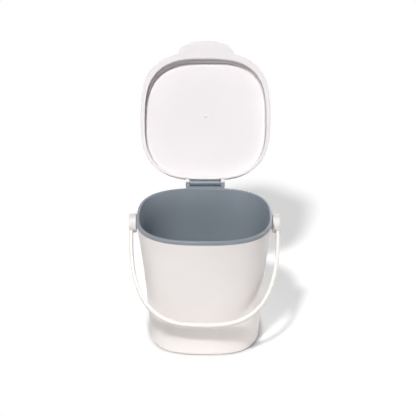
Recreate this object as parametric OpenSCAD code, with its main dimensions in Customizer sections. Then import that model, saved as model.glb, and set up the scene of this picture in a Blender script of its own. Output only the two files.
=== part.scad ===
// Compost caddy with hinged lid, stored with the lid open and the bail hanging in front.
// Millimetres, +Z up, front toward -Y. The origin is the middle of the foot, on the table.

/* [Bucket] */
// Outside width of the rim, side to side and front to back
rim_w = 172; // [150:1:190]
// Outside width of the foot
base_w = 141; // [125:1:160]
// Height of the rim's top above the table
body_h = 166.5; // [130:0.5:200]
// Squareness of the bucket's plan, where 2 is a circle
plan_power = 2.73; // [2.4:0.01:3.6]
// Share of the wall's flare that is straight, the rest opens toward the rim
straight_share = 0.56; // [0.3:0.02:1]
// Wall of the outer bucket
shell_wall = 1.8; // [1.4:0.1:2.6]
// Thickness of the outer bucket's floor
shell_floor = 2; // [1.5:0.1:3]
// Rounding under the outer bucket's foot
foot_r = 3; // [1.5:0.25:5]
// Width of the foot ring that stands on the table
foot_ring_w = 7; // [4:0.5:12]
// Height of the hollow inside the foot ring
foot_hollow_h = 2; // [1:0.25:4]

/* [Liner] */
// Wall and floor of the inner liner
liner_wall = 1.5; // [1.2:0.1:2.2]
// Air gap between the two walls
wall_gap = 1.1; // [1:0.1:2]
// Rounding between the liner's wall and its floor
bowl_r = 18; // [8:1:30]
// Height of the rim band that caps both walls
rim_h = 4.75; // [3.5:0.25:8]
// Width of the rim band's top face
rim_face_w = 3.3; // [3:0.1:3.8]
// Rounding of the rim band's edges
rim_edge_r = 0.8; // [0.3:0.1:1.2]

/* [Lid] */
// How far the lid reaches out past the rim on each side
lid_out = 1.2; // [0:0.1:3]
// How far the lid's outline sits forward of the bucket's middle
lid_forward = 0.7; // [0:0.1:1.5]
// Squareness of the lid's plan
lid_power = 2.92; // [2.4:0.01:3.6]
// Thickness of the lid's lip
lip_t = 2.4; // [1.8:0.1:3.5]
// How far the opening inside the lip lies in from the outside of the rim
pan_in = 4.3; // [4:0.1:6]
// How far the pan's outline sits behind the bucket's middle
pan_back = 1.7; // [1:0.1:2]
// Depth of the pan from the lip to its ceiling
pan_depth = 13; // [11:0.5:20]
// Wall and ceiling of the lid's pan
pan_wall = 1.2; // [1:0.1:1.6]
// Width of the sealing groove inside the lip
groove_w = 0.8; // [0.6:0.1:1.2]
// Depth of the sealing groove
groove_d = 4.2; // [3:0.1:6]
// Thickness of the sealing fin beside the groove
fin_t = 0.8; // [0.6:0.1:1.2]
// How far the fin's edge stays behind the lip
fin_back = 2; // [1:0.1:2.6]
// Wall of the lid's outer cover
cover_wall = 1.5; // [1.2:0.1:1.9]
// Rounding of the cover's shoulder
shoulder_r = 7.5; // [5:0.5:8]
// Rise of the cover's dome above its shoulder
dome_h = 1.4; // [0.5:0.1:4]
// Air gap between the pan's ceiling and the cover
lid_gap = 4; // [2.4:0.1:6]

/* [Tab] */
// Width of the thumb tab where it leaves the lid
tab_root_w = 77; // [60:1:100]
// Width of the straight part of the tab's end
tab_end_w = 16; // [4:1:50]
// How far the tab stands out from the lid
tab_reach = 16.4; // [8:0.2:24]
// Thickness of the tab
tab_t = 2.4; // [1.8:0.1:3.5]

/* [Hinge] */
// How far the hinge axis stands behind the rim
axis_back = 4.4; // [4.2:0.1:6]
// How far the hinge axis stands above the rim
axis_up = 5.2; // [4.8:0.1:7]
// How far the lid opens from closed, where its heels meet the bracket
open_angle = 121; // [100:1:125]
// Outside diameter of the barrel
barrel_d = 7; // [6:0.1:7.4]
// Length of the barrel
barrel_l = 42; // [30:1:60]
// Thickness of each ear on the lid
ear_t = 5; // [3.5:0.25:7]
// Outside radius of each ear
ear_r = 3.6; // [3:0.1:3.7]
// Diameter of the hinge pin
pin_d = 3; // [2:0.1:4]
// Height of the bracket's block
bracket_h = 11; // [8:0.5:16]
// Depth of the bracket's block, front to back
bracket_d = 9.5; // [8:0.5:14]

/* [Bail] */
// How far the bail reaches out past the rim on each side
bail_out = 10; // [8:0.25:14]
// Thickness of the bail's strap in its own plane
strap_t = 5; // [4:0.25:6]
// Width of the strap at its ends
strap_w = 11; // [8:0.5:14]
// Width of the strap at the grip
grip_w = 13; // [10:0.5:18]
// Reach of the bail from its pivots to the outside of the grip
bail_reach = 134.5; // [128:0.5:142]
// Squareness of the bail's bend
bail_power = 2.85; // [2.3:0.05:3.4]
// Rounding of the strap's edges
strap_edge_r = 1.4; // [0.6:0.1:1.9]
// Diameter of the round ends of the bail
knob_d = 24.4; // [18:0.2:25]
// How far the pivots lie below the rim
pivot_drop = 13.5; // [13.2:0.1:20]
// Diameter of the pivot studs
stud_d = 8; // [6:0.25:10]
// Diameter of the studs' heads
stud_head_d = 12; // [11:0.5:13]
// Thickness of the studs' heads
stud_head_t = 0.8; // [0.6:0.1:0.9]
// How far each stud reaches into the bail's end
stud_grip = 5.5; // [4:0.25:6.5]
// Diameter of the pad round each stud on the outer bucket
pad_d = 15; // [12:0.5:18]

/* [Fits] */
// Gap between the closed lid and the rim
seat_gap = 0.3; // [0.2:0.05:0.6]
// Gap between parts that slide past each other
side_gap = 0.3; // [0.2:0.05:0.6]
// Radial clearance of pins and studs pressed into their seats
press_gap = 0.02; // [0:0.01:0.05]
// Radial clearance of the pin and the studs in the bores that turn on them
run_gap = 0.08; // [0.02:0.01:0.1]
// Gap between the bail's ends and the rim
knob_gap = 0.8; // [0.5:0.1:1.5]

/* [Hidden] */
$fn = 64;
sides = 80;           // points round each lofted outline
white = [0.93, 0.92, 0.91];
grey = [0.60, 0.62, 0.65];

rim_half = rim_w / 2;
base_half = base_w / 2;
shell_h = body_h - rim_h;
shell_top_half = rim_half - 0.2;
shell_floor_z = foot_hollow_h + shell_floor;

lid_half = rim_half + lid_out;
lip_z = body_h + seat_gap;
pan_half = rim_half - pan_in;
fin_outer = pan_half - groove_w;
pan_inner = fin_outer - fin_t;
pan_draft = 0.3;      // how much the pan's wall leans in toward its ceiling
cover_half = pan_half + pan_wall + side_gap + cover_wall;
cover_top = pan_depth + pan_wall + lid_gap + cover_wall;

axis_y = rim_half + axis_back;
axis_z = body_h + axis_up;
ear_x = barrel_l / 2 + side_gap;
pin_l = 2 * (ear_x + ear_t);
heel_d = 3;           // depth of the heel's flat
bracket_w = pin_l - 0.6;

pivot_z = body_h - pivot_drop;
bail_half = rim_half + bail_out;
knob_in = rim_half + knob_gap;
stud_tip = knob_in + stud_grip;
// inner face of a stud's head, just clear of the liner at the head's top edge
head_x = wall_half(pivot_z + stud_head_d / 2) - shell_wall - wall_gap + 0.2;
bail_gap = 0.4;       // gap between the hanging grip and the bucket
hang = hang_angle(35, 12);

// ---- outlines and lofts ----

// Point of a rounded-square outline at one polar angle
function plan_point(angle, half, power) =
    let (c = cos(angle), s = sin(angle))
    half / pow(pow(abs(c), power) + pow(abs(s), power), 1 / power) * [c, s];

// One ring of a loft: a rounded-square outline at one height
function ring(half, z, power = plan_power, y = 0) =
    [for (i = [0 : sides - 1]) let (p = plan_point(360 * i / sides, half, power)) [p.x, p.y + y, z]];

// Rings for a quarter round in the profile, from angle a0 to a1 about its centre
function fillet(half, z, r, a0, a1, steps, power = plan_power, y = 0) =
    [for (i = [0 : steps]) let (a = a0 + (a1 - a0) * i / steps)
        ring(half + r * cos(a), z + r * sin(a), power, y)];

// Solid skinned over rings, each with the same number of points, closed by its first and last ring
module loft(rings) {
    n = len(rings[0]);
    last = len(rings) - 1;
    polyhedron(
        points = [for (r = rings) each r],
        faces = concat(
            [[for (i = [0 : n - 1]) i]],
            [for (k = [0 : last - 1], i = [0 : n - 1])
                let (a = k * n + i, b = k * n + (i + 1) % n) [a, a + n, b + n]],
            [for (k = [0 : last - 1], i = [0 : n - 1])
                let (a = k * n + i, b = k * n + (i + 1) % n) [a, b + n, b]],
            [[for (i = [n - 1 : -1 : 0]) last * n + i]]),
        convexity = 8);
}

// ---- bucket ----

// Half width of the outer bucket at a height
function wall_half(z) =
    let (t = z / shell_h)
    base_half + (shell_top_half - base_half) * (straight_share * t + (1 - straight_share) * t * t);

// Half width of the liner's inside at a height
function bowl_half(z) = wall_half(z) - shell_wall - wall_gap - liner_wall;

module pivot_holes(d) {
    for (side = [-1, 1])
        translate([side * rim_half, 0, pivot_z]) rotate([0, 90, 0]) cylinder(d = d, h = 16, center = true);
}

module outer_bucket() {
    pocket = 3;       // how deep the pocket for a stud's head is cut from inside
    hollow_half = wall_half(0) - foot_r - foot_ring_w;
    levels = [for (i = [0 : 5]) foot_r + (shell_h - foot_r) * i / 5];
    floor_r = 3;
    floor_half = wall_half(shell_floor_z + floor_r) - shell_wall - floor_r;
    color(white)
    difference() {
        union() {
            loft(concat(
                [ring(hollow_half - 1, foot_hollow_h), ring(hollow_half, 0)],
                fillet(wall_half(foot_r) - foot_r, foot_r, foot_r, -90, -15, 3),
                [for (z = levels) ring(wall_half(z), z)],
                [for (i = [5 : -1 : 1]) ring(wall_half(levels[i]) - shell_wall, levels[i])],
                fillet(floor_half, shell_floor_z + floor_r, floor_r, 0, -90, 3)));
            for (side = [-1, 1])
                translate([side * (wall_half(pivot_z) - shell_wall / 2), 0, pivot_z])
                    rotate([0, side * 90, 0])
                        cylinder(d = pad_d, h = knob_in - side_gap - wall_half(pivot_z) + shell_wall / 2);
        }
        pivot_holes(stud_d + 2 * press_gap);
        for (side = [-1, 1]) translate([0, 0, pivot_z]) rotate([0, side * 90, 0])
            translate([0, 0, head_x + stud_head_t - pocket])
                cylinder(d = stud_head_d + 2 * side_gap, h = pocket);
    }
}

module inner_liner() {
    under = shell_floor_z;
    levels = [for (i = [0 : 4]) under + bowl_r + (shell_h - under - bowl_r) * i / 4];
    outer_r = bowl_r + liner_wall;
    bowl_top = rim_half - rim_face_w;
    color(grey)
    loft(concat(
        fillet(bowl_half(under + bowl_r) + liner_wall - outer_r, under + outer_r, outer_r, -90, -15, 4),
        [for (i = [1 : 4]) ring(bowl_half(levels[i]) + liner_wall, levels[i])],
        [ring(rim_half, shell_h)],
        fillet(rim_half - rim_edge_r, body_h - rim_edge_r, rim_edge_r, 0, 90, 3),
        fillet(bowl_top + rim_edge_r, body_h - rim_edge_r, rim_edge_r, 90, 180, 3),
        [for (i = [4 : -1 : 1]) ring(bowl_half(levels[i]), levels[i])],
        fillet(bowl_half(under + liner_wall + bowl_r) - bowl_r, under + liner_wall + bowl_r, bowl_r, 0, -90, 5)));
}

// ---- hinge ----

module hinge_bracket() {
    block_z = body_h - bracket_h;
    edge = 2.5;
    neck_d = barrel_d - 2;
    color(grey)
    difference() {
        union() {
            difference() {
                translate([0, rim_half, 0])
                    linear_extrude(body_h)
                        polygon([for (p = [[-1, -4], [1, -4], [1, bracket_d - edge], [1, bracket_d],
                                           [-1, bracket_d], [-1, bracket_d - edge]])
                            [p.x * (bracket_w / 2 - (p.y == bracket_d ? edge : 0)), p.y]]);
                linear_extrude(2 * body_h)
                    polygon([for (i = [0 : 3 * sides - 1])
                        plan_point(360 * i / (3 * sides), rim_half + 0.05, plan_power)]);
                translate([-bracket_w, 0, -body_h + block_z])
                    cube([2 * bracket_w, 2 * rim_w, body_h]);
                // slope under the block
                translate([0, rim_half + bracket_d, block_z]) rotate([45, 0, 0])
                    cube([2 * bracket_w, 7, 7], center = true);
            }
            translate([-barrel_l / 2, axis_y - neck_d / 2, body_h - 1])
                cube([barrel_l, neck_d, axis_up + 1]);
            translate([0, axis_y, axis_z]) rotate([0, 90, 0])
                cylinder(d = barrel_d, h = barrel_l, center = true);
        }
        translate([0, axis_y, axis_z]) rotate([0, 90, 0])
            cylinder(d = pin_d + 2 * run_gap, h = barrel_l + 2, center = true);
    }
}

module hinge_pin() {
    color("silver")
    lid_pose() translate([0, axis_y, axis_z]) rotate([0, 90, 0])
        cylinder(d = pin_d, h = pin_l, center = true);
}

// ---- lid, drawn closed and turned open about the hinge ----

module lid_pose() {
    translate([0, axis_y, axis_z]) rotate([-open_angle, 0, 0]) translate([0, -axis_y, -axis_z])
        children();
}

function lid_ring(half, up) = ring(half, lip_z + up, lid_power, -lid_forward);
function pan_ring(half, up) = ring(half, lip_z + up, lid_power, pan_back);

// Half width of the tab at a share of its reach, from its root to its round end
function tab_half(share) =
    tab_end_w / 2 + (tab_root_w - tab_end_w) / 2 * pow(max(0, 1 - pow(share, 2.6)), 0.6);

module tab() {
    root_y = -(lid_half + lid_forward) + 6;
    reach = tab_reach + 6;
    steps = 12;
    shares = [for (i = [0 : steps]) sin(90 * i / steps)];
    right = [for (s = shares) [tab_half(s), root_y - s * reach]];
    translate([0, 0, lip_z]) linear_extrude(tab_t)
        polygon(concat(right, [for (i = [steps : -1 : 0]) [-right[i].x, right[i].y]]));
}

// Ear beside the barrel: a round lug, an arm to the lip and a heel that stops the lid
module ear() {
    arm_y = lid_half - lid_forward - 3;
    heel = axis_up - side_gap;
    translate([0, axis_y, axis_z]) rotate([0, 90, 0]) cylinder(r = ear_r, h = ear_t, center = true);
    translate([-ear_t / 2, arm_y, lip_z]) cube([ear_t, axis_y - arm_y, lip_t]);
    translate([-ear_t / 2, axis_y - ear_r, lip_z]) cube([ear_t, ear_r, axis_z - lip_z]);
    // the heel's flat lies behind the axis, so it lifts off the block as the lid closes
    translate([0, axis_y, axis_z]) rotate([open_angle, 0, 0]) translate([-ear_t / 2, 0, -heel])
        cube([ear_t, heel_d, heel]);
}

module lid_tray() {
    edge = 0.6;
    top = pan_depth + pan_wall;
    upstand = groove_d + pan_wall;
    color(white)
    lid_pose()
    difference() {
        union() {
            loft([
                pan_ring(pan_inner - pan_draft - 2, pan_depth),
                pan_ring(pan_inner - pan_draft - 0.6, pan_depth - 0.6),
                pan_ring(pan_inner - pan_draft, pan_depth - 2),
                pan_ring(pan_inner, fin_back),
                pan_ring(fin_outer, fin_back),
                pan_ring(fin_outer, groove_d),
                pan_ring(pan_half, groove_d),
                pan_ring(pan_half, 0),
                lid_ring(lid_half - edge, 0),
                lid_ring(lid_half, edge),
                lid_ring(lid_half, lip_t - edge),
                lid_ring(lid_half - edge, lip_t),
                pan_ring(pan_half + pan_wall, lip_t),
                pan_ring(pan_half + pan_wall, upstand),
                pan_ring(pan_inner + pan_wall, upstand + 0.6),
                pan_ring(pan_inner - pan_draft + pan_wall, top - 2.6),
                pan_ring(pan_inner - pan_draft, top - 0.6),
                pan_ring(pan_inner - pan_draft - 2, top)]);
            tab();
            for (side = [-1, 1]) translate([side * (ear_x + ear_t / 2), 0, 0]) ear();
        }
        translate([0, axis_y, axis_z]) rotate([0, 90, 0])
            cylinder(d = pin_d + 2 * press_gap, h = pin_l + 2, center = true);
    }
}

module lid_cover() {
    foot = lip_t + 0.05;
    skirt_top = cover_top - shoulder_r;
    lean = 0.4;       // how much the skirt leans in toward its shoulder
    inner_r = shoulder_r - cover_wall;
    centre = cover_half - lean - shoulder_r;
    color(white)
    lid_pose()
    loft(concat(
        [pan_ring(cover_half * 0.4, cover_top - cover_wall + dome_h * 0.8),
         pan_ring(cover_half * 0.75, cover_top - cover_wall + dome_h * 0.4)],
        fillet(centre, lip_z + skirt_top, inner_r, 90, 0, 4, lid_power, pan_back),
        [pan_ring(cover_half - cover_wall, foot), pan_ring(cover_half, foot)],
        fillet(centre, lip_z + skirt_top, shoulder_r, 0, 90, 5, lid_power, pan_back),
        [pan_ring(cover_half * 0.75, cover_top + dome_h * 0.4),
         pan_ring(cover_half * 0.4, cover_top + dome_h * 0.8),
         pan_ring(cover_half * 0.1, cover_top + dome_h)]));
}

// ---- bail ----

// Angle from straight down at which the grip meets the front of the bucket
function hang_angle(angle, turns) =
    turns == 0 ? angle :
    let (reach = bail_reach - strap_t,
         z = pivot_z - reach * cos(angle) - grip_w / 2 * sin(angle))
    hang_angle(asin((wall_half(z) + bail_gap + grip_w / 2 * cos(angle)) / reach), turns - 1);

// Middle line of the strap in the bail's plane: [sideways, away from the pivots]
function bail_point(a) =
    let (c = cos(a), s = sin(a), w = bail_half - strap_t / 2, l = bail_reach - strap_t / 2)
    1 / pow(pow(abs(c) / w, bail_power) + pow(abs(s) / l, bail_power), 1 / bail_power) * [c, s];

// Section of the strap, a rectangle with round corners: [in the plane, across it]
function strap_section(width) =
    [for (q = [0 : 3], i = [0 : 2])
        let (a = 90 * q + 45 * i,
             cx = (strap_t / 2 - strap_edge_r) * (q == 0 || q == 3 ? 1 : -1),
             cy = (width / 2 - strap_edge_r) * (q < 2 ? 1 : -1))
        [cx + strap_edge_r * cos(a), cy + strap_edge_r * sin(a)]];

module strap() {
    stations = 56;
    angles = [for (i = [0 : stations]) 180 * i / stations];
    rings = [for (a = angles)
        let (p = bail_point(a),
             ahead = bail_point(min(a + 0.5, 180)) - bail_point(max(a - 0.5, 0)),
             along = a == 0 ? [0, 1] : a == 180 ? [0, -1] : ahead / norm(ahead),
             out = [along.y, -along.x],
             width = strap_w + (grip_w - strap_w) * pow(sin(a), 2))
        [for (q = strap_section(width)) [p.x + out.x * q.x, -q.y, -(p.y + out.y * q.x)]]];
    loft(rings);
}

module bail_handle() {
    color(white)
    translate([0, 0, pivot_z]) rotate([-hang, 0, 0])
    difference() {
        union() {
            strap();
            for (side = [-1, 1])
                translate([side * knob_in, 0, 0]) rotate([0, side * 90, 0])
                    cylinder(d = knob_d, h = bail_half - knob_in);
        }
        for (side = [-1, 1])
            translate([side * (knob_in - 1), 0, 0]) rotate([0, side * 90, 0])
                cylinder(d = stud_d + 2 * run_gap, h = stud_grip + 1 + side_gap);
    }
}

// Stud pressed through the outer bucket's wall from inside, out into the bail's end
module pivot_stud(side) {
    color(white)
    translate([0, 0, pivot_z]) rotate([0, side * 90, 0]) translate([0, 0, head_x]) {
        cylinder(d = stud_head_d, h = stud_head_t);
        cylinder(d = stud_d, h = stud_tip - head_x);
    }
}

module left_pivot_stud() { pivot_stud(-1); }
module right_pivot_stud() { pivot_stud(1); }

outer_bucket();
inner_liner();
hinge_bracket();
hinge_pin();
lid_tray();
lid_cover();
bail_handle();
left_pivot_stud();
right_pivot_stud();
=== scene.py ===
"""Looks of a kitchen compost caddy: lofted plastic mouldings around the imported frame.

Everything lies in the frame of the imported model: +Z up, the front toward -Y, and the origin in
the middle of the foot. Sizes are written in millimetres and made into metres in the meshes. Only
the lamps, the floor and the depths inside a finish are in metres. The lid stands open and the
bail hangs in front.
"""

import logging
import math
from dataclasses import dataclass, field
from enum import Enum
from typing import Iterable, Sequence

import bmesh
import bpy
import numpy as np
from mathutils import Matrix, Vector


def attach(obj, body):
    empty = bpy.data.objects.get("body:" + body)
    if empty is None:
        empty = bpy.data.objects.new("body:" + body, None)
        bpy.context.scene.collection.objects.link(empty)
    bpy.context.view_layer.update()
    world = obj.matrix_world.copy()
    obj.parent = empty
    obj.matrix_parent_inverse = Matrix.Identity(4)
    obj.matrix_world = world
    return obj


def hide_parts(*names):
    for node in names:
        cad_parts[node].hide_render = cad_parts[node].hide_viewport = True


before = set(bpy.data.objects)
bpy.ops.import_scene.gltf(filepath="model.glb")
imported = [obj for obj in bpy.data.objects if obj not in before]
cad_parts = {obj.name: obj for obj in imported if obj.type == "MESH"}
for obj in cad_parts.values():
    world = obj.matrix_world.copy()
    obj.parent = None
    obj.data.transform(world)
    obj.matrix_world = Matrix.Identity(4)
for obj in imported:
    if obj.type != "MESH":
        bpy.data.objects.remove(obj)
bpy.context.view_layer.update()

log = logging.getLogger("caddy")
logging.basicConfig(level=logging.INFO, format="%(name)s: %(message)s")

MM = 0.001
IMAGE_PIXELS = 416
SENSOR_MM = 36.0
ARC_LEAD = 1.25  # where the point before or after an arc lies, in shares of the arc's run
SMOOTH_DEGREES = 45.0
PRISM_SMOOTH_DEGREES = 30.0
BEVEL_DEGREES = 28.0
BEVEL_STEPS = 4
CIRCLE_POWER = 2.0
LINER_GREY = (0.25, 0.285, 0.325)

Profile = list[tuple[float, float]]
Place = tuple[float, float, float]
Colour = tuple[float, float, float]
Feed = bpy.types.NodeSocket | float | tuple[float, ...]


class Body(Enum):
    """Rigid bodies of the frame that a piece can ride on."""

    BUCKET = "bucket"
    LID = "lid"
    BAIL = "bail"


# ---------------------------------------------------------------- shapes


def around(count: int) -> np.ndarray:
    """Return evenly spaced angles round an outline.

    Args:
        count: number of points.

    Returns:
        Angles in radians, from 0 up to but not including a full turn.
    """
    return np.arange(count) * 2 * np.pi / count


@dataclass(frozen=True)
class Squircle:
    """A rounded-square outline, |x|^p + |y|^p = half^p, about (0, centre)."""

    power: float
    centre: float = 0.0
    count: int = 320

    def points(self, half: float) -> np.ndarray:
        """Return the outline's points for a half width in millimetres.

        Args:
            half: half width of the outline.

        Returns:
            Array of x, y pairs in millimetres.
        """
        angle = around(self.count)
        c, s = np.cos(angle), np.sin(angle)
        radius = half / (np.abs(c) ** self.power + np.abs(s) ** self.power) ** (1 / self.power)
        return np.stack([radius * c, radius * s + self.centre], axis=1)


def rounded(corners: Sequence[tuple[float, float, float]], steps: int = 6) -> Profile:
    """Round the corners of an open profile with arcs.

    Args:
        corners: x, z and rounding radius of each corner, in millimetres.
        steps: segments in each arc.

    Returns:
        The profile's points, with one more point before and after each arc.
    """
    out: Profile = []
    last = len(corners) - 1
    for i, (x, z, radius) in enumerate(corners):
        here = Vector((x, z))
        if i in (0, last) or radius <= 0:
            out.append((x, z))
            continue
        to_before = (Vector(corners[i - 1][:2]) - here).normalized()
        to_after = (Vector(corners[i + 1][:2]) - here).normalized()
        half_angle = to_before.angle(to_after) / 2
        run = radius / math.tan(half_angle)
        middle = here + (to_before + to_after).normalized() * radius / math.sin(half_angle)
        a = here + to_before * run - middle
        b = here + to_after * run - middle
        turn = a.angle_signed(b)
        out.append(tuple(here + to_before * run * ARC_LEAD))
        for k in range(steps + 1):
            out.append(tuple(middle + Matrix.Rotation(-turn * k / steps, 2) @ a))
        out.append(tuple(here + to_after * run * ARC_LEAD))
    return out


def skin(name: str, rings: Sequence[np.ndarray]) -> bpy.types.Object:
    """Skin quads over closed rings of points, close both ends and shade the piece smooth.

    Args:
        name: name of the object.
        rings: arrays of x, y, z in millimetres, all of one length.

    Returns:
        The new object, linked to the scene.
    """
    count = len(rings[0])
    last = (len(rings) - 1) * count
    verts = [tuple(p) for ring in rings for p in np.asarray(ring) * MM]
    faces: list[tuple[int, ...]] = []
    following = [(i + 1) % count for i in range(count)]
    for ring in range(0, last, count):
        after = ring + count
        for i, j in enumerate(following):
            faces.append((ring + i, ring + j, after + j, after + i))
    for ring in (0, last):
        middle = len(verts)
        verts.append(tuple(np.mean(rings[ring // count], axis=0) * MM))
        for i, j in enumerate(following):
            a, b = (j, i) if ring == 0 else (i, j)
            faces.append((ring + a, ring + b, middle))
    mesh = bpy.data.meshes.new(name)
    mesh.from_pydata(verts, [], faces)
    mesh.validate()
    piece = bpy.data.objects.new(name, mesh)
    bpy.context.scene.collection.objects.link(piece)
    smooth(piece)
    return piece


def smooth(piece: bpy.types.Object, sharp_degrees: float = SMOOTH_DEGREES) -> None:
    """Turn a mesh's faces outward and shade it smooth except over sharp edges.

    Args:
        piece: the object whose mesh is shaded.
        sharp_degrees: edges that turn more than this stay sharp.
    """
    work = bmesh.new()
    work.from_mesh(piece.data)
    bmesh.ops.recalc_face_normals(work, faces=work.faces)
    work.to_mesh(piece.data)
    work.free()
    piece.data.shade_smooth()
    piece.data.set_sharp_from_angle(angle=math.radians(sharp_degrees))


def loft(
    name: str, outline: Squircle, profile: Iterable[tuple[float, float]]
) -> bpy.types.Object:
    """Loft a rounded-square moulding through a profile of half widths and heights.

    Args:
        name: name of the object.
        outline: the outline in plan.
        profile: pairs of half width and height in millimetres.

    Returns:
        The lofted object, closed at both ends.
    """
    rings = [
        np.column_stack([outline.points(half), np.full(outline.count, z)]) for half, z in profile
    ]
    return skin(name, rings)


def lathe_x(
    name: str, profile: Profile, axis: tuple[float, float], count: int = 72
) -> bpy.types.Object:
    """Turn a profile about a line along X.

    Args:
        name: name of the object.
        profile: pairs of x and radius in millimetres.
        axis: y and z of the line in millimetres.
        count: points round the turning.

    Returns:
        The turned object.
    """
    angle = around(count)
    rings = [
        np.column_stack(
            [np.full(count, x), axis[0] + r * np.cos(angle), axis[1] + r * np.sin(angle)]
        )
        for x, r in profile
    ]
    return skin(name, rings)


def prism_x(
    name: str, outline: Sequence[tuple[float, float]], x0: float, x1: float, bevel: float
) -> bpy.types.Object:
    """Extrude a side outline along X and bevel its edges.

    Args:
        name: name of the object.
        outline: pairs of y and z in millimetres.
        x0: start of the extrusion.
        x1: end of the extrusion.
        bevel: width of the bevel in millimetres.

    Returns:
        The bevelled object.
    """
    count = len(outline)
    verts = [(x * MM, y * MM, z * MM) for x in (x0, x1) for y, z in outline]
    faces = [tuple(range(count)), tuple(range(2 * count - 1, count - 1, -1))]
    for i in range(count):
        j = (i + 1) % count
        faces.append((i, j, count + j, count + i))
    mesh = bpy.data.meshes.new(name)
    mesh.from_pydata(verts, [], faces)
    piece = bpy.data.objects.new(name, mesh)
    bpy.context.scene.collection.objects.link(piece)
    smooth(piece, PRISM_SMOOTH_DEGREES)
    rounding = piece.modifiers.new("rounded_edges", "BEVEL")
    rounding.width = bevel * MM
    rounding.segments = BEVEL_STEPS
    rounding.limit_method = "ANGLE"
    rounding.angle_limit = math.radians(BEVEL_DEGREES)
    rounding.harden_normals = True
    return piece


def turned(piece: bpy.types.Object, y: float, z: float, degrees: float) -> bpy.types.Object:
    """Turn a piece's mesh about a line along X.

    Args:
        piece: the object, whose vertices move.
        y: y of the line in millimetres.
        z: z of the line in millimetres.
        degrees: angle by the right-hand rule about +X.

    Returns:
        The same object.
    """
    centre = Matrix.Translation((0, y * MM, z * MM))
    spin = Matrix.Rotation(math.radians(degrees), 4, "X")
    piece.data.transform(centre @ spin @ centre.inverted())
    return piece


# ---------------------------------------------------------------- finishes


def blank(name: str) -> bpy.types.Material:
    """Return a new material that holds Blender's plain shader."""
    material = bpy.data.materials.new(name)
    material.use_nodes = True
    return material


def add(
    tree: bpy.types.NodeTree, kind: str, inputs: dict[str | int, Feed], **settings: str | int
) -> bpy.types.Node:
    """Add a node to a tree and feed its inputs.

    Args:
        tree: the node tree.
        kind: the node's type, without the "ShaderNode" before it.
        inputs: for an input's name or place, the socket that feeds it or its plain value.
        settings: the node's own settings.

    Returns:
        The new node.
    """
    node = tree.nodes.new(f"ShaderNode{kind}")
    for name, value in settings.items():
        setattr(node, name, value)
    for slot, value in inputs.items():
        if isinstance(value, bpy.types.NodeSocket):
            tree.links.new(value, node.inputs[slot])
        else:
            node.inputs[slot].default_value = value
    return node


def vary_gloss(
    tree: bpy.types.NodeTree, texture: bpy.types.NodeSocket, low: float, high: float
) -> None:
    """Let the plain shader's roughness follow a texture.

    Args:
        tree: the material's node tree.
        texture: socket of the texture, from 0 to 1.
        low: roughness where the texture is 0.
        high: roughness where it is 1.
    """
    gloss = add(tree, "MapRange", {"Value": texture, "To Min": low, "To Max": high})
    tree.links.new(gloss.outputs["Result"], tree.nodes["Principled BSDF"].inputs["Roughness"])


@dataclass(frozen=True)
class MouldedPlastic:
    """Injection-moulded plastic: fine grain, faint flow marks and a satin gloss."""

    name: str
    colour: Colour
    roughness: float
    translucency: float = 0.0
    refraction: float = 1.49
    scatter: Colour = (1.0, 0.9, 0.8)
    scatter_depth: float = 0.002
    tone_spread: float = 0.012
    tone_from: float = 0.3
    tone_to: float = 0.7
    tone_scale: float = 14.0
    tone_detail: float = 3.0
    gloss_spread: float = 0.05
    gloss_scale: float = 55.0
    gloss_detail: float = 4.0
    grain: float = 0.06
    grain_depth: float = 0.0001
    grain_scale: float = 2200.0
    grain_detail: float = 2.0

    def build(self) -> bpy.types.Material:
        """Build the node material.

        Returns:
            The new material.
        """
        material = blank(self.name)
        tree = material.node_tree
        shader = tree.nodes["Principled BSDF"]
        shader.inputs["IOR"].default_value = self.refraction
        shader.inputs["Subsurface Weight"].default_value = self.translucency
        shader.inputs["Subsurface Radius"].default_value = self.scatter
        shader.inputs["Subsurface Scale"].default_value = self.scatter_depth
        place = add(tree, "TexCoord", {}).outputs["Object"]

        def noise(scale: float, detail: float) -> bpy.types.NodeSocket:
            """Return a noise texture in the piece's own coordinates."""
            texture = add(tree, "TexNoise", {"Vector": place, "Scale": scale, "Detail": detail})
            return texture.outputs["Fac"]

        tone = add(tree, "ValToRGB", {"Fac": noise(self.tone_scale, self.tone_detail)})
        low, high = tone.color_ramp.elements
        low.position, high.position = self.tone_from, self.tone_to
        low.color = (*(max(0.0, c - self.tone_spread) for c in self.colour), 1)
        high.color = (*(min(1.0, c + self.tone_spread) for c in self.colour), 1)
        tree.links.new(tone.outputs["Color"], shader.inputs["Base Color"])
        wipe, spread = noise(self.gloss_scale, self.gloss_detail), self.gloss_spread
        vary_gloss(tree, wipe, self.roughness - spread, self.roughness + spread)
        grain = noise(self.grain_scale, self.grain_detail)
        bump = add(
            tree, "Bump", {"Strength": self.grain, "Distance": self.grain_depth, "Height": grain}
        )
        tree.links.new(bump.outputs["Normal"], shader.inputs["Normal"])
        return material


@dataclass(frozen=True)
class DrawnSteel:
    """Steel wire drawn along X, with fine lines along it."""

    name: str
    colour: Colour = (0.62, 0.62, 0.64)
    smoothest: float = 0.22
    roughest: float = 0.42
    line_scale: tuple[float, float, float] = (40.0, 3000.0, 3000.0)

    def build(self) -> bpy.types.Material:
        """Build the node material.

        Returns:
            The new material.
        """
        material = blank(self.name)
        tree = material.node_tree
        shader = tree.nodes["Principled BSDF"]
        shader.inputs["Base Color"].default_value = (*self.colour, 1)
        shader.inputs["Metallic"].default_value = 1.0
        place = add(tree, "TexCoord", {}).outputs["Object"]
        stretch = add(tree, "Mapping", {"Vector": place, "Scale": self.line_scale})
        lines = add(tree, "TexNoise", {"Vector": stretch.outputs["Vector"], "Scale": 1.0})
        vary_gloss(tree, lines.outputs["Fac"], self.smoothest, self.roughest)
        return material


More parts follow.
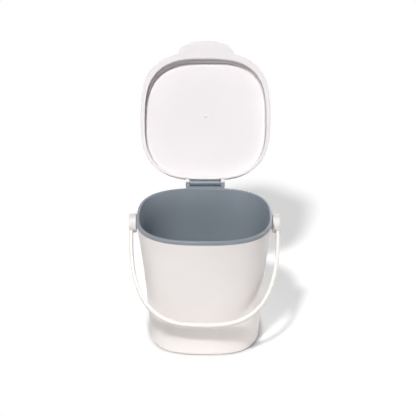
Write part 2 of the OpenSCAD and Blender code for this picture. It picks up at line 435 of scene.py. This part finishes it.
def dress(
    piece: bpy.types.Object, material: bpy.types.Material, body: Body, slot: str, *nodes: str
) -> None:
    """Give a new piece its material and body, log its slot, and hide the nodes it stands for.

    Args:
        piece: the new object.
        material: its finish.
        body: the rigid body it rides on.
        slot: name of its material slot, which is only logged.
        nodes: names of the CAD nodes that it replaces.
    """
    piece.data.materials.clear()
    piece.data.materials.append(material)
    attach(piece, body.value)
    if nodes:
        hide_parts(*nodes)
    log.info("%s rides on %s, slot %s", piece.name, body.value, slot)


def repaint(node: str, material: bpy.types.Material) -> None:
    """Give a CAD node that keeps its shape a procedural material.

    Args:
        node: name of the CAD node.
        material: its finish.
    """
    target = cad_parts[node]
    target.data.materials.clear()
    target.data.materials.append(material)
    log.info("%s keeps its solid, finish %s", node, material.name)


@dataclass
class Finishes:
    """Every finish of the caddy, built once; the lid's and the bail's whites are the body's white
    with painted shade.
    """

    white: bpy.types.Material = field(
        default_factory=MouldedPlastic(
            "white_moulded", (0.88, 0.84, 0.835), roughness=0.5, translucency=0.08
        ).build
    )
    # painted shade: the same white plastic as the body, darkened to tone down the brightly lit
    # lid
    lid_white_with_painted_shade: bpy.types.Material = field(
        default_factory=MouldedPlastic(
            "white_lid_painted_shade", (0.833, 0.795, 0.806), roughness=0.58, translucency=0.08
        ).build
    )
    # painted shade: the same white plastic as the body, darkened so the lit strap does not burn
    # out to white
    bail_white_with_painted_shade: bpy.types.Material = field(
        default_factory=MouldedPlastic(
            "white_bail_painted_shade", (0.775, 0.75, 0.73), roughness=0.5, translucency=0.08
        ).build
    )
    grey: bpy.types.Material = field(
        default_factory=MouldedPlastic("grey_liner_moulded", LINER_GREY, roughness=0.32).build
    )
    hinge_grey: bpy.types.Material = field(
        default_factory=MouldedPlastic("grey_hinge_moulded", LINER_GREY, roughness=0.3).build
    )
    steel: bpy.types.Material = field(default_factory=DrawnSteel("steel_pin").build)


# ---------------------------------------------------------------- the caddy


@dataclass
class Bucket:
    """The white outer bucket and the grey liner whose rim caps both walls."""

    rim_half: float = 86.0
    foot_half: float = 70.5
    height: float = 166.5
    rim_height: float = 4.75
    power: float = 2.73
    straight_share: float = 0.56  # of the wall's flare, the rest grows with the height squared
    shell_wall: float = 1.8
    wall_gap: float = 1.1
    liner_wall: float = 1.5
    rim_face: float = 3.3
    rim_seat: float = 0.2
    rim_round: float = 1.2
    rim_round_inside: float = 0.9
    rim_round_under: float = 0.35
    rim_slope_inside: float = 2.0
    floor_start: float = 10.0
    shell_floor: float = 2.0
    shell_floor_round: float = 3.0
    foot_edge: float = 0.8
    foot_gap: float = 2.6
    foot_inset: float = 1.8
    foot_ring: float = 7.0
    foot_slope: float = 1.0
    foot_hollow: float = 2.0
    foot_round: float = 0.5
    fine_round: float = 0.3
    bowl_round: float = 18.0
    pivot_z: float = 153.0
    pad_radius: float = 7.5
    stud_radius: float = 4.02
    pad_reach: float = 86.5
    pad_sink: float = 2.2
    pad_round: float = 0.4
    lip_round: float = 0.7
    shell_from: float = 8.0  # lowest station of the shell's curved wall
    shell_to: float = 6.0  # from its highest station up to the top edge
    shell_steps: int = 22
    liner_from: float = 32.0
    liner_to: float = 3.0
    liner_to_inside: float = 4.0
    liner_steps: int = 18
    arc_steps: int = 10

    @property
    def shell_top(self) -> float:
        """Height of the outer bucket's top edge."""
        return self.height - self.rim_height

    def wall_half(self, z: float) -> float:
        """Return the outer bucket's half width at a height.

        Args:
            z: the height in millimetres.

        Returns:
            The half width in millimetres.
        """
        t = z / self.shell_top
        flare = self.straight_share * t + (1 - self.straight_share) * t * t
        return self.foot_half + (self.rim_half - self.rim_seat - self.foot_half) * flare

    def shell_profile(self) -> Profile:
        """Draw the outer bucket's profile, from under the foot over its top edge to the floor.

        Returns:
            Pairs of half width and height.
        """
        rises = np.linspace(self.shell_from, self.shell_top - self.shell_to, self.shell_steps)
        floor = self.foot_hollow + self.shell_floor
        inside = self.shell_wall
        ring = self.foot_half - self.foot_inset
        corners = [
            (self.floor_start, self.foot_hollow, 0),
            (ring - self.foot_ring - self.foot_slope, self.foot_hollow, self.foot_round),
            (ring - self.foot_ring, 0, self.foot_round),
            (ring, 0, self.fine_round),
            (ring, self.foot_gap, self.fine_round),
            (self.wall_half(self.foot_gap), self.foot_gap, self.foot_edge),
        ]
        corners += [(self.wall_half(z), z, 0) for z in rises]
        corners += [
            (self.wall_half(self.shell_top), self.shell_top, self.lip_round),
            (self.wall_half(self.shell_top) - inside, self.shell_top, self.fine_round),
        ]
        corners += [(self.wall_half(z) - inside, z, 0) for z in rises[::-3]]
        corners += [
            (self.wall_half(floor) - inside, floor, self.shell_floor_round),
            (self.floor_start, floor, 0),
        ]
        return rounded(corners)

    def liner_profile(self) -> Profile:
        """Draw the liner's profile, from under its floor over the rim to the floor inside.

        Returns:
            Pairs of half width and height.
        """
        rises = np.linspace(self.liner_from, self.shell_top - self.liner_to, self.liner_steps)
        under = self.foot_hollow + self.shell_floor
        floor = under + self.liner_wall
        outer = self.shell_wall + self.wall_gap
        inner = outer + self.liner_wall
        corners = [
            (self.floor_start, under, 0),
            (self.wall_half(under) - outer, under, self.bowl_round + self.liner_wall),
        ]
        corners += [(self.wall_half(z) - outer, z, 0) for z in rises]
        corners += [
            (self.wall_half(self.shell_top) - outer, self.shell_top, 0),
            (self.rim_half, self.shell_top, self.rim_round_under),
            (self.rim_half, self.height, self.rim_round),
            (self.rim_half - self.rim_face, self.height, self.rim_round_inside),
            (self.wall_half(self.shell_top) - inner, self.shell_top - self.rim_slope_inside, 0),
        ]
        below_rim = [z for z in rises[::-1] if z < self.shell_top - self.liner_to_inside]
        corners += [(self.wall_half(z) - inner, z, 0) for z in below_rim]
        corners += [
            (self.wall_half(floor) - inner, floor, self.bowl_round),
            (self.floor_start, floor, 0),
        ]
        return rounded(corners, self.arc_steps)

    def build(self, finishes: Finishes) -> None:
        """Build and dress the bucket's pieces.

        Args:
            finishes: the caddy's finishes.
        """
        outline = Squircle(self.power)
        shell = loft("outer_shell", outline, self.shell_profile())
        dress(shell, finishes.white, Body.BUCKET, "white_shell", "outer_bucket")
        liner = loft("liner_and_rim", outline, self.liner_profile())
        dress(liner, finishes.grey, Body.BUCKET, "grey_liner", "inner_liner")
        for side, label in ((-1, "left"), (1, "right")):
            wall = side * (self.rim_half - self.pad_sink)
            profile = rounded(
                [
                    (wall, self.stud_radius, 0),
                    (wall, self.pad_radius, 0),
                    (side * self.pad_reach, self.pad_radius, self.pad_round),
                    (side * self.pad_reach, self.stud_radius, 0),
                ]
            )
            pad = lathe_x(f"{label}_pivot_pad", profile, (0, self.pivot_z))
            dress(pad, finishes.white, Body.BUCKET, "white_shell")
        for node in ("left_pivot_stud", "right_pivot_stud"):
            repaint(node, finishes.white)


@dataclass
class Hinge:
    """The grey bracket behind the rim, with its barrel, and the pin."""

    bucket: Bucket = field(default_factory=Bucket)
    axis_y: float = 90.4
    axis_z: float = 171.7
    rim_gap: float = 0.05
    block_half: float = 26.0
    block_depth: float = 9.5
    block_height: float = 11.0
    block_slope: float = 5.0
    block_round: float = 0.8
    barrel_radius: float = 3.5
    barrel_half: float = 21.0
    barrel_bore: float = 1.58
    barrel_round: float = 0.5
    neck_half: float = 1.5
    neck_root: float = 0.8
    neck_round: float = 0.3
    arc_steps: int = 4

    def build(self, finishes: Finishes) -> None:
        """Build and dress the hinge's pieces.

        Args:
            finishes: the caddy's finishes.
        """
        rim_z = self.bucket.height
        front = self.bucket.rim_half + self.rim_gap
        back = front + self.block_depth
        low = rim_z - self.block_height
        block = prism_x(
            "hinge_block",
            [
                (front, rim_z),
                (front, low),
                (back - self.block_slope, low),
                (back, low + self.block_slope),
                (back, rim_z),
            ],
            -self.block_half,
            self.block_half,
            self.block_round,
        )
        dress(block, finishes.hinge_grey, Body.BUCKET, "grey_hinge", "hinge_bracket")
        neck = prism_x(
            "hinge_neck",
            [
                (self.axis_y - self.neck_half, rim_z - self.neck_root),
                (self.axis_y + self.neck_half, rim_z - self.neck_root),
                (self.axis_y + self.neck_half, self.axis_z),
                (self.axis_y - self.neck_half, self.axis_z),
            ],
            -self.barrel_half,
            self.barrel_half,
            self.neck_round,
        )
        dress(neck, finishes.hinge_grey, Body.BUCKET, "grey_hinge")
        end, r, bore = self.barrel_half, self.barrel_radius, self.barrel_bore
        edge = self.barrel_round
        corners = [(-end, bore, 0), (-end, r, edge), (end, r, edge), (end, bore, 0)]
        profile = rounded(corners, self.arc_steps)
        barrel = lathe_x("hinge_barrel", profile, (self.axis_y, self.axis_z))
        dress(barrel, finishes.hinge_grey, Body.BUCKET, "grey_hinge")
        repaint("hinge_pin", finishes.steel)


@dataclass
class Lid:
    """The lid, modelled closed and turned open: tray with lip and tab, ears and cover."""

    hinge: Hinge = field(default_factory=Hinge)
    lip_gap: float = 0.3
    lip_half: float = 87.2
    lip_centre: float = -0.7
    lip_power: float = 2.92
    lip_thick: float = 2.4
    lip_round: float = 0.7
    lip_steps: int = 6
    pan_half: float = 82.0
    pan_centre: float = 2.4
    pan_depth: float = 15.5
    pan_wall: float = 0.6
    pan_round: float = 2.2
    pan_start: float = 8.0
    pan_crown: float = 0.4
    pan_flat: float = 0.6  # share of the pan's width that its crown takes
    pan_edge: float = 0.35
    pan_lead: float = 0.3
    pan_slope: float = 2.0
    land: float = 1.5
    fin_round: float = 0.3
    groove: float = 0.6
    groove_deep: float = 14.2
    fin: float = 0.4
    fin_back: float = 9.5
    draft: float = 0.3
    gate_radius: float = 2.5
    gate_core: float = 0.1
    gate_height: float = 1.6
    gate_root: float = 0.6
    gate_round: float = 0.4
    gate_centre: float = -3.0
    gate_steps: int = 48
    tab_root: float = 37.6
    tab_end: float = 8.0
    tab_reach: float = 15.4
    tab_fillet: float = 1.2
    tab_sink: float = 6.0
    tab_tip: float = 0.3
    tab_steps: int = 400
    cover_half: float = 84.7
    cover_centre: float = 1.7
    cover_wall: float = 1.5
    cover_lean: float = 0.4
    cover_top: float = 19.7
    cover_seat: float = 0.05
    cover_foot_round: float = 0.4
    cover_foot_round_inside: float = 0.2
    cover_draw_in: float = 0.5
    cover_swell: float = 0.2
    dome: float = 1.4
    dome_shares: tuple[float, ...] = (0.88, 0.7, 0.5, 0.3, 0.1)
    shoulder: float = 7.5
    shoulder_steps: int = 10
    open_degrees: float = 121.0
    ear_x: float = 21.3
    ear_thick: float = 5.0
    ear_radius: float = 3.6
    ear_overlap: float = 3.0
    ear_start: float = 0.55  # radians by which the lug's arc begins before the open angle
    ear_steps: int = 10
    ear_edge: float = 0.35
    heel_gap: float = 0.3
    heel_width: float = 3.0
    heel_root: float = 2.0
    count: int = 480

    @property
    def lip_z(self) -> float:
        """Height of the closed lid's underside."""
        return self.hinge.bucket.height + self.lip_gap

    def opened(self, piece: bpy.types.Object) -> bpy.types.Object:
        """Turn a piece of the closed lid to the open rest position."""
        return turned(piece, self.hinge.axis_y, self.hinge.axis_z, -self.open_degrees)

    def tab_half_width(self, share: np.ndarray) -> np.ndarray:
        """Return the tab's half width at shares of its reach, 0 at its root and 1 at its end."""
        bulge = np.maximum(0, 1 - share**2.6) ** 0.6
        return self.tab_end + (self.tab_root - self.tab_end) * bulge

    def lip_outline(self) -> np.ndarray:
        """Return the lip's outer outline, with the tab blended in by a small fillet.

        Returns:
            Array of x, y pairs in millimetres, one for each angle about the lip's centre.
        """
        angle = around(self.count)
        base = Squircle(self.lip_power, self.lip_centre, self.count).points(self.lip_half)
        radius = np.hypot(base[:, 0], base[:, 1] - self.lip_centre)
        root = self.lip_half - self.tab_sink
        reach = self.tab_reach + self.tab_sink
        share = np.sin(np.linspace(0, np.pi / 2, self.tab_steps))
        depth = root + share * reach
        half = self.tab_half_width(share)
        half = np.append(half, 0.0)
        depth = np.append(depth, root + reach + self.tab_tip)
        off_axis = np.arctan2(half, depth)[::-1]
        distance = np.hypot(half, depth)[::-1]
        away = np.abs(np.arctan2(np.cos(angle), -np.sin(angle)))
        tab = np.where(away <= off_axis.max(), np.interp(away, off_axis, distance), 0)
        sharp = self.tab_fillet / 2
        mixed = np.where(tab > 0, np.logaddexp(radius / sharp, tab / sharp) * sharp, radius)
        return np.stack([mixed * np.cos(angle), mixed * np.sin(angle) + self.lip_centre], axis=1)

    def tray(self) -> bpy.types.Object:
        """Build the tray: pan, fin, groove, lip and tab in one moulding.

        Returns:
            The tray, turned open.
        """
        pan = Squircle(self.lip_power, self.pan_centre, self.count)
        edge = self.lip_outline()
        ahead, behind = np.roll(edge, -1, axis=0), np.roll(edge, 1, axis=0)
        along = ahead - behind
        normal = np.stack([along[:, 1], -along[:, 0]], axis=1)
        normal /= np.linalg.norm(normal, axis=1, keepdims=True)

        def lip_ring(inset: float, up: float) -> np.ndarray:
            """Return a ring inside the lip's outline, at a height over the lip's underside."""
            xy = edge - normal * inset
            return np.column_stack([xy, np.full(self.count, self.lip_z + up)])

        def pan_ring(half: float, up: float) -> np.ndarray:
            """Return a ring of the pan, at a height over the lip's underside."""
            return np.column_stack([pan.points(half), np.full(self.count, self.lip_z + up)])

        fin_outer = self.pan_half - self.groove
        inner = fin_outer - self.fin
        top = self.pan_depth + self.pan_wall
        ceiling = inner - self.draft
        inside = rounded(
            [
                (self.pan_start, self.pan_depth + self.pan_crown, 0),
                (ceiling * self.pan_flat, self.pan_depth + self.pan_crown / 2, 0),
                (ceiling, self.pan_depth, self.pan_round),
                (inner, self.fin_back, self.fin_round),
                (fin_outer, self.fin_back, self.fin_round),
                (fin_outer, self.groove_deep, 0),
                (self.pan_half, self.groove_deep, 0),
                (self.pan_half, 0, self.pan_edge),
                (self.pan_half + self.land, 0, 0),
            ]
        )
        outer = self.pan_half + self.pan_wall
        back = self.groove_deep + self.pan_wall
        outside = rounded(
            [
                (outer, self.lip_thick, 0),
                (outer, back, self.fin_round),
                (inner + self.pan_wall, back + self.pan_lead, 0),
                (ceiling + self.pan_wall - self.pan_slope, top, 0),
                (self.pan_start, top + self.pan_crown, 0),
            ]
        )
        rings = [pan_ring(half, up) for half, up in inside]
        r, t = self.lip_round, self.lip_thick
        quarter = np.linspace(0, math.pi / 2, self.lip_steps + 1)
        rings += [lip_ring(r - r * math.sin(a), r - r * math.cos(a)) for a in quarter]
        rings += [lip_ring(r - r * math.cos(a), t - r + r * math.sin(a)) for a in quarter]
        rings += [pan_ring(half, up) for half, up in outside]
        return self.opened(skin("lid_tray_and_tab", rings))

    def cover(self) -> bpy.types.Object:
        """Build the domed cover.

        Returns:
            The cover, turned open.
        """
        half, lean = self.cover_half, self.cover_lean
        foot = self.lip_thick + self.cover_seat
        crown = [(s, self.cover_top + self.dome * (1 - s * s)) for s in self.dome_shares]
        under = self.cover_wall
        corners = [(half * s - self.cover_draw_in, z - under, 0) for s, z in crown[::-1]]
        corners += [
            (half - lean - under, self.cover_top - under, self.shoulder - under),
            (half - under, foot, self.cover_foot_round_inside),
            (half, foot, self.cover_foot_round),
            (half - lean, self.cover_top + self.cover_swell, self.shoulder),
        ]
        corners += [(half * s, z, 0) for s, z in crown]
        profile = [(h, self.lip_z + up) for h, up in rounded(corners, self.shoulder_steps)]
        return self.opened(
            loft("lid_cover_dome", Squircle(self.lip_power, self.cover_centre), profile)
        )

    def ear(self, side: int) -> bpy.types.Object:
        """Build one ear: a round lug with an arm to the lip and a heel.

        Args:
            side: -1 for the left ear, 1 for the right.

        Returns:
            The ear, turned open.
        """
        ay, az, r = self.hinge.axis_y, self.hinge.axis_z, self.ear_radius
        arm_y = self.lip_half + self.lip_centre - self.ear_overlap
        turn = math.radians(self.open_degrees)
        heel = az - self.hinge.bucket.height - self.heel_gap

        def at(y: float, z: float) -> tuple[float, float]:
            """Return the closed place of a point, given from the axis on the open lid."""
            return (
                ay + y * math.cos(turn) - z * math.sin(turn),
                az + y * math.sin(turn) + z * math.cos(turn),
            )

        outline = [(arm_y, self.lip_z + self.lip_thick), (arm_y, self.lip_z), (ay, self.lip_z)]
        width = self.heel_width
        outline += [at(0.0, -heel), at(width, -heel), at(width, -self.heel_root)]
        for a in np.linspace(turn - self.ear_start, math.pi, self.ear_steps + 1):
            outline.append((ay + r * math.cos(a), az + r * math.sin(a)))
        outline.append((ay - r, self.lip_z + self.lip_thick))
        x0, x1 = sorted((side * self.ear_x, side * (self.ear_x + self.ear_thick)))
        label = "left" if side < 0 else "right"
        return self.opened(prism_x(f"{label}_lid_ear", outline, x0, x1, self.ear_edge))

    def gate_mark(self) -> bpy.types.Object:
        """Build the low round mark that the moulding gate leaves on the pan.

        Returns:
            The mark, turned open.
        """
        root = self.lip_z + self.pan_depth + self.gate_root
        tip = root - self.gate_height
        profile = rounded(
            [
                (self.gate_core, root, 0),
                (self.gate_radius, root, 0),
                (self.gate_radius - self.gate_height / 4, tip, self.gate_round),
                (self.gate_core, tip, 0),
            ]
        )
        disc = Squircle(CIRCLE_POWER, self.gate_centre, self.gate_steps)
        return self.opened(loft("lid_gate_mark", disc, profile))

    def build(self, finishes: Finishes) -> None:
        """Build and dress the lid's pieces.

        Args:
            finishes: the caddy's finishes.
        """
        dress(self.tray(), finishes.lid_white_with_painted_shade, Body.LID, "white_lid", "lid_tray")
        dress(self.cover(), finishes.lid_white_with_painted_shade, Body.LID, "white_cover", "lid_cover")
        dress(self.gate_mark(), finishes.lid_white_with_painted_shade, Body.LID, "white_lid")
        for side in (-1, 1):
            dress(self.ear(side), finishes.lid_white_with_painted_shade, Body.LID, "white_lid")


@dataclass
class Bail:
    """The flat bail with its round ends, hanging against the front."""

    bucket: Bucket = field(default_factory=Bucket)
    half: float = 96.0
    reach: float = 134.5
    power: float = 2.85
    thick: float = 5.0
    end_width: float = 11.0
    grip_width: float = 13.8
    edge: float = 1.4
    edge_steps: int = 6
    knob_radius: float = 12.2
    knob_in: float = 86.8
    knob_round: float = 0.9
    knob_round_inside: float = 0.7
    knob_steps: int = 96
    bore: float = 4.08
    bore_round: float = 0.2
    bore_depth: float = 5.8
    bore_core: float = 0.3
    hang_degrees: float = 38.0
    stations: int = 200

    def section(self, width: float) -> np.ndarray:
        """Return the strap's section, a rectangle with round corners.

        Args:
            width: width of the strap in millimetres.

        Returns:
            Array of offsets in the bail's plane and across it.
        """
        out = []
        steps = self.edge_steps
        for q, (sx, sy) in enumerate(((1, 1), (-1, 1), (-1, -1), (1, -1))):
            for k in range(steps + 1):
                a = math.pi / 2 * (q + k / steps)
                out.append(
                    (
                        sx * (self.thick / 2 - self.edge) + self.edge * math.cos(a),
                        sy * (width / 2 - self.edge) + self.edge * math.sin(a),
                    )
                )
        return np.array(out)

    def strap(self) -> bpy.types.Object:
        """Build the strap.

        Returns:
            The strap, hanging.
        """
        pivot_z = self.bucket.pivot_z
        w, length = self.half - self.thick / 2, self.reach - self.thick / 2
        angle = np.linspace(0, np.pi, self.stations + 1)
        c, s = np.cos(angle), np.maximum(np.sin(angle), 0)
        size = (np.abs(c / w) ** self.power + (s / length) ** self.power) ** (-1 / self.power)
        path = np.stack([size * c, size * s], axis=1)
        along = np.gradient(path, axis=0)
        along[0], along[-1] = (0, 1), (0, -1)
        along /= np.linalg.norm(along, axis=1, keepdims=True)
        rings = []
        for p, t, a in zip(path, along, s):
            out = np.array([t[1], -t[0]])
            section = self.section(self.end_width + (self.grip_width - self.end_width) * a * a)
            plane = p + np.outer(section[:, 0], out)
            rings.append(np.column_stack([plane[:, 0], -section[:, 1], pivot_z - plane[:, 1]]))
        return turned(skin("bail_strap", rings), 0, pivot_z, -self.hang_degrees)

    def build(self, finishes: Finishes) -> None:
        """Build and dress the bail's pieces.

        Args:
            finishes: the caddy's finishes.
        """
        dress(self.strap(), finishes.bail_white_with_painted_shade, Body.BAIL, "white_bail", "bail_handle")
        deep = self.knob_in + self.bore_depth
        for side, label in ((-1, "left"), (1, "right")):
            profile = rounded(
                [
                    (side * deep, self.bore_core, 0),
                    (side * deep, self.bore, 0),
                    (side * self.knob_in, self.bore, self.bore_round),
                    (side * self.knob_in, self.knob_radius, self.knob_round_inside),
                    (side * self.half, self.knob_radius, self.knob_round),
                    (side * self.half, self.bore_core, 0),
                ]
            )
            axis = (0, self.bucket.pivot_z)
            knob = lathe_x(f"{label}_bail_end", profile, axis, self.knob_steps)
            dress(knob, finishes.bail_white_with_painted_shade, Body.BAIL, "white_bail")


# ---------------------------------------------------------------- the studio


@dataclass
class Studio:
    """Pale floor, soft light and the camera at the photograph's angle."""

    distance: float = 1500.0
    elevation: float = 23.39
    yaw: float = -0.47
    focal_pixels: float = 1182.0
    farthest: float = 100.0
    aim_x: float = 4.42
    aim_z: float = 174.19
    key_place: Place = (-0.291, -0.937, 1.528)
    key_size: float = 0.2
    key_power: float = 9.2
    spots: tuple[tuple[str, Place, float], ...] = (
        ("front_spot", (0.1, -1.1, 0.25), 3.0),
        ("left_spot", (-0.8, -0.8, 0.25), 14.5),
        ("right_spot", (1.0, -0.4, 0.25), 13.0),
        ("flank_spot", (1.1, 0.1, 0.2), 22.0),
    )
    spot_cone: float = 0.27
    spot_blend: float = 0.5
    spot_radius: float = 0.2
    spot_aim: Place = (0.0, 0.0, 0.045)
    aim: Place = (0.0, 0.0, 0.1)
    fill: float = 0.02
    mirror: float = 0.9
    floor_half: float = 30.0
    floor_drop: float = 0.0002
    floor_colour: Colour = (0.86, 0.84, 0.81)
    floor_keep: float = 0.55
    floor_glow: float = 0.575
    # painted contact shadow: reach, fall-off power and samples of the ambient occlusion that
    # darkens the floor's glow close to the caddy
    contact_reach: float = 0.011
    contact_power: float = 1.7
    contact_samples: int = 12
    back_place: Place = (0.3, 1.25, 0.4)
    back_size: float = 0.6
    back_power: float = 2.5
    fade_from: float = 0.28
    fade_to: float = 0.42
    fade_centre: Place = (0.14, 0.2, 0.0)

    def camera(self) -> None:
        """Place the camera and make it the scene's."""
        tilt, turn = math.radians(self.elevation), math.radians(self.yaw)
        ahead = Vector((0, math.cos(tilt), -math.sin(tilt)))
        place = Vector((self.aim_x, 0, self.aim_z)) - ahead * self.distance
        data = bpy.data.cameras.new("photo_camera")
        data.sensor_width = SENSOR_MM
        data.lens = SENSOR_MM * self.focal_pixels / IMAGE_PIXELS
        data.clip_end = self.farthest
        rig = bpy.data.objects.new("photo_camera", data)
        rig.location = Matrix.Rotation(-turn, 3, "Z") @ place * MM
        rig.rotation_euler = (math.pi / 2 - tilt, 0, -turn)
        bpy.context.scene.collection.objects.link(rig)
        bpy.context.scene.camera = rig

    def floor(self) -> None:
        """Lay the floor."""
        half = self.floor_half
        corners = [(-half, -half, 0), (half, -half, 0), (half, half, 0), (-half, half, 0)]
        mesh = bpy.data.meshes.new("studio_floor")
        mesh.from_pydata(corners, [], [(0, 1, 2, 3)])
        mesh.materials.append(self.floor_finish())
        sheet = bpy.data.objects.new("studio_floor", mesh)
        sheet.location.z = -self.floor_drop
        bpy.context.scene.collection.objects.link(sheet)

    def floor_finish(self) -> bpy.types.Material:
        """Build the floor's finish: it keeps the caddy's shadow, paints a contact shadow into its
        glow close to the caddy, and turns white farther out.

        Returns:
            The new material.
        """
        material = blank("floor_white")
        tree = material.node_tree
        tree.nodes.remove(tree.nodes["Principled BSDF"])

        def diffuse(colour: Colour) -> bpy.types.NodeSocket:
            """Return a matt surface of one colour."""
            return add(tree, "BsdfDiffuse", {"Color": (*colour, 1)}).outputs[0]

        def glow(level: Feed) -> bpy.types.NodeSocket:
            """Return an even glow."""
            return add(tree, "Emission", {"Strength": level}).outputs[0]

        def calc(operation: str, first: Feed, second: Feed) -> bpy.types.NodeSocket:
            """Return what two values give in a math node."""
            return add(tree, "Math", {0: first, 1: second}, operation=operation).outputs[0]

        def mix(share: Feed, first: Feed, second: Feed) -> bpy.types.NodeSocket:
            """Return the first surface where the share is 0 and the second where it is 1."""
            return add(tree, "MixShader", {0: share, 1: first, 2: second}).outputs[0]

        # painted contact shadow: the floor's glow is darkened by ambient occlusion close to the
        # caddy
        near_caddy = {"Distance": self.contact_reach}
        contact_shade = add(tree, "AmbientOcclusion", near_caddy, samples=self.contact_samples)
        falls = calc("POWER", contact_shade.outputs["AO"], self.contact_power)
        shade = glow(calc("MULTIPLY", falls, self.floor_glow))
        near = add(tree, "AddShader", {0: diffuse((self.floor_keep,) * 3), 1: shade}).outputs[0]
        place = add(tree, "TexCoord", {}).outputs["Object"]
        reach = add(tree, "VectorMath", {0: place, 1: self.fade_centre}, operation="DISTANCE")
        fade = add(
            tree,
            "MapRange",
            {
                "Value": reach.outputs["Value"],
                "From Min": self.fade_from,
                "From Max": self.fade_to,
            },
            interpolation_type="SMOOTHSTEP",
        )
        seen = mix(fade.outputs["Result"], near, glow(1.0))
        path = add(tree, "LightPath", {})
        looked_at = calc("MAXIMUM", path.outputs["Is Camera Ray"], path.outputs["Is Glossy Ray"])
        surface = mix(looked_at, diffuse(self.floor_colour), seen)
        tree.links.new(surface, tree.nodes["Material Output"].inputs["Surface"])
        return material

    def lamp(
        self, name: str, place: Place, size: float, power: float, even: bool = False
    ) -> None:
        """Hang a round lamp that points at the caddy.

        Args:
            name: name of the lamp.
            place: where it hangs, in metres.
            size: diameter in metres.
            power: power in watts.
            even: whether its light stays the same at every distance.
        """
        data = bpy.data.lights.new(name, "AREA")
        data.shape = "DISK"
        data.size = size
        data.energy = power
        if even:
            data.use_nodes = True
            tree = data.node_tree
            falloff = tree.nodes.new("ShaderNodeLightFalloff")
            falloff.inputs["Strength"].default_value = 1.0
            tree.links.new(falloff.outputs["Constant"], tree.nodes["Emission"].inputs["Strength"])
        self.hang(data, place, self.aim)

    def hang(self, data: bpy.types.Light, place: Place, aim: Place) -> None:
        """Put a lamp in its place, pointed at a target and out of the camera's sight.

        Args:
            data: the lamp.
            place: where it hangs, in metres.
            aim: what it points at, in metres.
        """
        rig = bpy.data.objects.new(data.name, data)
        rig.location = place
        away = Vector(place) - Vector(aim)
        rig.rotation_euler = away.to_track_quat("Z", "Y").to_euler()
        rig.visible_camera = False
        bpy.context.scene.collection.objects.link(rig)

    def spot(self, name: str, place: Place, power: float) -> None:
        """Hang a soft spot that fills the bucket's front below the rim.

        Args:
            name: name of the spot.
            place: where it hangs, in metres.
            power: power in watts.
        """
        data = bpy.data.lights.new(name, "SPOT")
        data.energy = power
        data.spot_size = self.spot_cone
        data.spot_blend = self.spot_blend
        data.shadow_soft_size = self.spot_radius
        self.hang(data, place, self.spot_aim)

    def lights(self) -> None:
        """Hang the lamps and set the surroundings, white where they are looked at."""
        self.lamp("key_light", self.key_place, self.key_size, self.key_power, even=True)
        self.lamp("back_light", self.back_place, self.back_size, self.back_power)
        for name, place, power in self.spots:
            self.spot(name, place, power)
        world = bpy.data.worlds.new("studio")
        bpy.context.scene.world = world
        world.use_nodes = True
        tree = world.node_tree
        path = add(tree, "LightPath", {})
        glossy = add(
            tree,
            "MapRange",
            {"Value": path.outputs["Is Glossy Ray"], "To Min": self.fill, "To Max": self.mirror},
        )
        level = add(
            tree,
            "Math",
            {0: path.outputs["Is Camera Ray"], 1: glossy.outputs["Result"]},
            operation="MAXIMUM",
        )
        sky = tree.nodes["Background"]
        sky.inputs["Color"].default_value = (1, 1, 1, 1)
        tree.links.new(level.outputs[0], sky.inputs["Strength"])

    def build(self) -> None:
        """Set up the camera, the floor, the light and the view transform."""
        self.camera()
        self.floor()
        self.lights()
        bpy.context.scene.view_settings.view_transform = "Standard"


def main() -> None:
    """Build the caddy's pieces and the studio."""
    Studio().build()
    finishes = Finishes()
    bucket = Bucket()
    hinge = Hinge(bucket)
    for sub_assembly in (bucket, hinge, Lid(hinge), Bail(bucket)):
        sub_assembly.build(finishes)
    log.info("boxes written")


if __name__ == "__main__":
    main()
